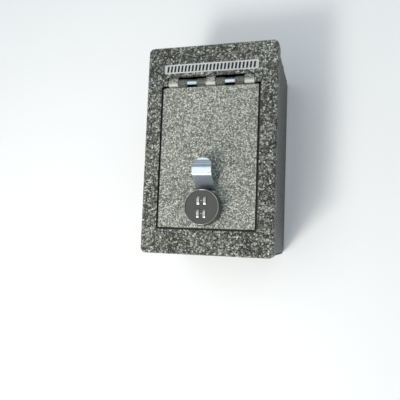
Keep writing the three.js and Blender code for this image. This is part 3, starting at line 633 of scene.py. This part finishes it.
# Weld beads: rippled, up the corners of the box, under the frame's skirt and round the hinge leaves
BEAD_RIPPLE = 1.5 * MM
BEAD_STEPS = 4  # rings to one ripple
BEAD_SIDES = 7  # points across the bead
BEAD_SUNK = 0.15 * MM
BEAD_SWELL = 0.20  # share of the height that each ripple gains along itself
BEAD_LAG = 0.35  # how far a ripple's middle trails its sides, in ripples
BEAD_DRIFT = 0.12  # wandering sideways and in height, over the bead's width and height
DRIFT_STEP = 0.13  # noise cells to one ring
END_SWELL = 0.35  # height at an end, and what each ripple adds from there
END_GROWTH = 0.25
CORNER_BEAD = Vector((5.0, 1.3)) * MM  # width and height
CORNER_BEAD_START = 7 * MM  # over the underside, clear of the floor's bend
CORNER_BEAD_END = 0.5 * MM  # under the skirt
SKIRT_BEAD = Vector((3.7, 1.4)) * MM
SKIRT_BEAD_LENGTH = 24 * MM
SKIRT_BEADS_ALONG = (-92 * MM, 0.0, 92 * MM)
SKIRT_BEADS_ACROSS = (-50 * MM, 50 * MM)
SEAM_GAP = 0.15 * MM  # from the wrap's side edge to the middle of the seam
LEAF_BEAD = Vector((3.2, 1.5)) * MM
LEAF_BEAD_LENGTH = 15 * MM
LEAF_BEAD_INSET = 3 * MM  # from the leaf's near end to the beads at its sides


def bead(mesh, start, end, across, out, size, seed):
    """A low arch from start to end, rippled as a weld cools, each ripple lagging in the middle."""
    run = end - start
    along = run.normalized()
    rings = []
    count = round(run.length / BEAD_RIPPLE) * BEAD_STEPS
    for index in range(count + 1):
        phase = (index % BEAD_STEPS) / BEAD_STEPS
        drift = BEAD_DRIFT * noise.noise(Vector((index * DRIFT_STEP, seed, 0.5)))
        ends = min(1.0, END_SWELL + END_GROWTH * min(index, count - index) / BEAD_STEPS)
        swell = (1 - BEAD_SWELL * (1 - phase) + drift) * ends
        centre = start + along * (run.length * index / count) + across * (size.x * drift)
        half_width = 0.5 * size.x * (0.9 + 0.1 * swell)
        ring = []
        for side in range(BEAD_SIDES):
            angle = math.pi * side / (BEAD_SIDES - 1)
            lag = along * (-BEAD_LAG * BEAD_RIPPLE * math.sin(angle))
            rise = out * (size.y * swell * math.sin(angle) - BEAD_SUNK)
            ring.append(mesh.verts.new(centre + lag + rise + across * (half_width * math.cos(angle))))
        rings.append(ring)
    for here, there in zip(rings, rings[1:]):
        for side in range(BEAD_SIDES):
            after = (side + 1) % BEAD_SIDES
            mesh.faces.new([here[side], here[after], there[after], there[side]])
    mesh.faces.new(rings[0])
    mesh.faces.new(list(reversed(rings[-1])))


def weld_piece(name, lines, size, body="safe"):
    """A bead along each line, which is its start, its end, and the ways across it and out of it."""
    mesh = bmesh.new()
    for number, (start, end, across, out) in enumerate(lines):
        across, out = Vector(across).normalized(), Vector(out).normalized()
        bead(mesh, Vector(start), Vector(end), across, out, size, number)
    bmesh.ops.recalc_face_normals(mesh, faces=mesh.faces)
    data = as_mesh(mesh, name)
    data.shade_smooth()
    new_piece(data, WELD_COAT, body)


def fillet_inset(size):
    """How far the middle of a bead in a corner lies from both faces."""
    return size.x / (2 * math.sqrt(2))


def along_y(x, y, z, length, out):
    """A line in the corner between a level face above and an upright one that looks out along X."""
    return (x, y - length / 2, z), (x, y + length / 2, z), (out, 0, 1), (out, 0, -1)


def along_x(x, y, z, length, out):
    """The same with an upright face that looks out along Y."""
    return (x - length / 2, y, z), (x + length / 2, y, z), (0, out, 1), (0, out, -1)


def corner_welds():
    low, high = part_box("box_wrap")
    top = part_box("top_frame")[0].z - CORNER_BEAD_END
    bottom = low.z + CORNER_BEAD_START
    lines = []
    for x in (low.x - SEAM_GAP, high.x + SEAM_GAP):
        for y, out in ((low.y, -1), (high.y, 1)):
            lines.append(((x, y, bottom), (x, y, top), (1, 0, 0), (0, out, 0)))
    weld_piece("corner_welds", lines, CORNER_BEAD)


def skirt_welds():
    """Fillets in the corner between the skirt's lower edge and the walls."""
    left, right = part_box("side_panel_left")[0].x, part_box("side_panel_right")[1].x
    front, back = (corner.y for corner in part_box("box_wrap"))
    inset = fillet_inset(SKIRT_BEAD)
    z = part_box("top_frame")[0].z - inset
    lines = []
    for x, out in ((left - inset, -1), (right + inset, 1)):
        lines += [along_y(x, y, z, SKIRT_BEAD_LENGTH, out) for y in SKIRT_BEADS_ALONG]
    for y, out in ((front - inset, -1), (back + inset, 1)):
        lines += [along_x(x, y, z, SKIRT_BEAD_LENGTH, out) for x in SKIRT_BEADS_ACROSS]
    weld_piece("skirt_welds", lines, SKIRT_BEAD)


def leaf_welds():
    """Fillets that hold the sides and the near end of each hinge leaf to the door's underside."""
    inset = fillet_inset(LEAF_BEAD)
    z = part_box("door_panel")[0].z - inset
    lines = []
    for side in ("left", "right"):
        low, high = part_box(f"hinge_leaf_{side}")
        y = low.y + LEAF_BEAD_INSET + LEAF_BEAD_LENGTH / 2
        lines.append(along_y(low.x - inset, y, z, LEAF_BEAD_LENGTH, -1))
        lines.append(along_y(high.x + inset, y, z, LEAF_BEAD_LENGTH, 1))
        lines.append(along_x((low.x + high.x) / 2, low.y - inset, z, LEAF_BEAD_LENGTH, -1))
    weld_piece("leaf_welds", lines, LEAF_BEAD, "door")


corner_welds()
skirt_welds()
leaf_welds()


# Liner: a felt-faced foam mat with soft edges, lying a little uneven
LINER_STEP = 4 * MM
LINER_CORNER = 8 * MM
LINER_EDGE = 2.0 * MM  # how far the top dips at the mat's edge
LINER_ROUNDING = 1.6 * LINER_EDGE  # how far in from the edge the dip begins
LINER_LIFT = 0.25  # how far the underside rises at the edge, over the dip
LINER_WAVE = 0.5 * MM
WAVE_RATE = 14  # noise cells to a metre
WAVE_HIGH = 0.6  # noise above this is left flat


def corner_centre(x, y, low, high):
    """The nearest point to x, y of the rectangle between the centres of the mat's round corners."""
    u = min(max(x, low.x + LINER_CORNER), high.x - LINER_CORNER)
    v = min(max(y, low.y + LINER_CORNER), high.y - LINER_CORNER)
    return Vector((u, v))


def inside_corner(x, y, low, high):
    """The point, drawn in onto the rounded corner where it lies past it."""
    centre = corner_centre(x, y, low, high)
    away = Vector((x, y)) - centre
    if abs(away.x) < 1e-9 or abs(away.y) < 1e-9:
        return x, y
    drawn = centre + away * (max(abs(away.x), abs(away.y)) / away.length)
    return drawn.x, drawn.y


def edge_distance(x, y, low, high):
    away = Vector((x, y)) - corner_centre(x, y, low, high)
    straight = min(x - low.x, high.x - x, y - low.y, high.y - y)
    return min(straight, LINER_CORNER - away.length) if away.length > 0 else straight


def liner():
    low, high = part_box("floor_liner")
    columns = round((high.x - low.x) / LINER_STEP)
    rows = round((high.y - low.y) / LINER_STEP)
    mesh = bmesh.new()
    top, bottom = {}, {}
    for sheet in (top, bottom):
        for row in range(rows + 1):
            for column in range(columns + 1):
                x = low.x + (high.x - low.x) * column / columns
                y = low.y + (high.y - low.y) * row / rows
                x, y = inside_corner(x, y, low, high)
                dip = LINER_EDGE * (1 - min(1, edge_distance(x, y, low, high) / LINER_ROUNDING)) ** 2
                wave = LINER_WAVE * (noise.noise(Vector((x * WAVE_RATE, y * WAVE_RATE, 0.3))) - WAVE_HIGH)
                z = high.z - dip + min(0, wave) if sheet is top else low.z + LINER_LIFT * dip
                sheet[row, column] = mesh.verts.new((x, y, z))
    for row in range(rows):
        for column in range(columns):
            quad = [(row, column), (row, column + 1), (row + 1, column + 1), (row + 1, column)]
            mesh.faces.new([top[place] for place in quad])
            mesh.faces.new([bottom[place] for place in reversed(quad)])
    rim = [(0, c) for c in range(columns)]
    rim += [(r, columns) for r in range(rows)]
    rim += [(rows, c) for c in range(columns, 0, -1)]
    rim += [(r, 0) for r in range(rows, 0, -1)]
    for here, there in zip(rim, rim[1:] + rim[:1]):
        mesh.faces.new([top[here], bottom[here], bottom[there], top[there]])
    bmesh.ops.recalc_face_normals(mesh, faces=mesh.faces)
    data = as_mesh(mesh, "liner_mat")
    data.shade_smooth()
    piece = new_piece(data, FELT_FACE, "safe")
    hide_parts("floor_liner")


liner()


# Camera

def photo_camera():
    data = bpy.data.cameras.new("photo_camera")
    data.sensor_width = SENSOR_WIDTH
    data.lens = SENSOR_WIDTH * FOCAL_PIXELS / IMAGE_SIDE
    data.clip_start = CLIP_START
    data.clip_end = CLIP_END
    camera = bpy.data.objects.new("photo_camera", data)
    door = Vector(((door_low.x + door_high.x) / 2, (door_low.y + door_high.y) / 2, door_high.z))
    back = CAMERA_BACK.normalized()
    right = (CAMERA_RIGHT - back * CAMERA_RIGHT.dot(back)).normalized()
    turn = Matrix((right, back.cross(right), back)).transposed().to_4x4()
    camera.matrix_world = Matrix.Translation(door + CAMERA_FROM_DOOR) @ turn
    bpy.context.scene.collection.objects.link(camera)
    bpy.context.scene.camera = camera


photo_camera()


# Floor, world and lamps
FLOOR_HALF = 6
FLOOR_DROP = 0.2 * MM  # under the safe
FLOOR_LIFT = (0.10, 0.50)  # added to what the camera sees of the floor, near and far
FLOOR_FADE = (0.5, 3.2)  # distances from the safe between the two
DUSK = (0.16, 0.42)  # heights of the direction between the colours of horizon and zenith
TOP_MIDDLE = Vector((0, 0, cad_box[1][2]))
OVERHEAD = (-0.23, -0.38, 0.98)
UNDER_OVERHEAD = (-0.23, -0.3799, 0)  # a hair off plumb, so that the panel's long side runs along Y


def seen_rays(s):
    """1 for what is seen directly, in a mirror or through glass, 0 for what only lights."""
    path = s.add("ShaderNodeLightPath").outputs
    seen = s.math("MAXIMUM", path["Is Camera Ray"], path["Is Glossy Ray"])
    return s.math("MAXIMUM", seen, path["Is Transmission Ray"])


def floor():
    mesh = bmesh.new()
    bmesh.ops.create_grid(mesh, x_segments=2, y_segments=2, size=FLOOR_HALF)
    piece = bpy.data.objects.new("floor", as_mesh(mesh, "floor"))
    piece.location.z = cad_box[0][2] - FLOOR_DROP
    bpy.context.scene.collection.objects.link(piece)
    s = Shader("floor_paper")
    s.fill(s.surface, Base_Color=FLOOR, Roughness=0.9, Emission_Color=WHITE, Specular_IOR_Level=0.1)
    away = s.add("ShaderNodeVectorMath", operation="LENGTH")
    s.join(s.place, away.inputs[0])
    lift = s.grey(away.outputs["Value"], *FLOOR_LIFT, *FLOOR_FADE)
    s.join(s.math("MULTIPLY", seen_rays(s), lift), s.surface.inputs["Emission Strength"])
    piece.data.materials.append(s.material)


def world():
    """Lights evenly; seen directly or mirrored it is pale at the horizon and dusky overhead."""
    surroundings = bpy.data.worlds.new("surroundings")
    bpy.context.scene.world = surroundings
    surroundings.use_nodes = True
    s = Shader.of_tree(surroundings.node_tree)
    direction = s.add("ShaderNodeTexCoord").outputs["Generated"]
    rise = s.grey(s.split(direction)[2], 0, 1, *DUSK)
    shown = s.ramp(rise, [(0.0, HORIZON), (1.0, ZENITH)])
    colour = s.mix(seen_rays(s), SKY_LIGHT, shown)
    s.join(colour, s.tree.nodes["Background"].inputs["Color"])


def lamp(name, place, aim, size, brightness, colour, mirrored=True):
    """A soft panel whose face has the given brightness, white being 1."""
    data = bpy.data.lights.new(name, "AREA")
    data.shape = "RECTANGLE"
    data.size, data.size_y = size
    data.energy = brightness * math.pi * size[0] * size[1]
    data.color = colour
    piece = bpy.data.objects.new(name, data)
    direction = Vector(aim) - Vector(place)
    piece.rotation_euler = direction.to_track_quat("-Z", "Y").to_euler()
    piece.location = place
    piece.visible_camera = False
    piece.visible_glossy = mirrored
    bpy.context.scene.collection.objects.link(piece)


floor()
world()
lamp("overhead", OVERHEAD, UNDER_OVERHEAD, (0.5, 1.54), 1.5, (1.0, 0.98, 0.95))
lamp("front", (-0.43, -0.76, 1.32), TOP_MIDDLE, (0.30, 0.30), 36, (1.0, 0.96, 0.90), mirrored=False)
lamp("low", (-0.36, -1.18, 0.68), TOP_MIDDLE, (0.4, 0.3), 6, (1.0, 0.97, 0.94))
lamp("far", (0.7, 1.0, 0.8), TOP_MIDDLE, (0.8, 0.4), 1.2, (0.95, 0.98, 1.0))

bpy.context.scene.view_settings.view_transform = "Standard"
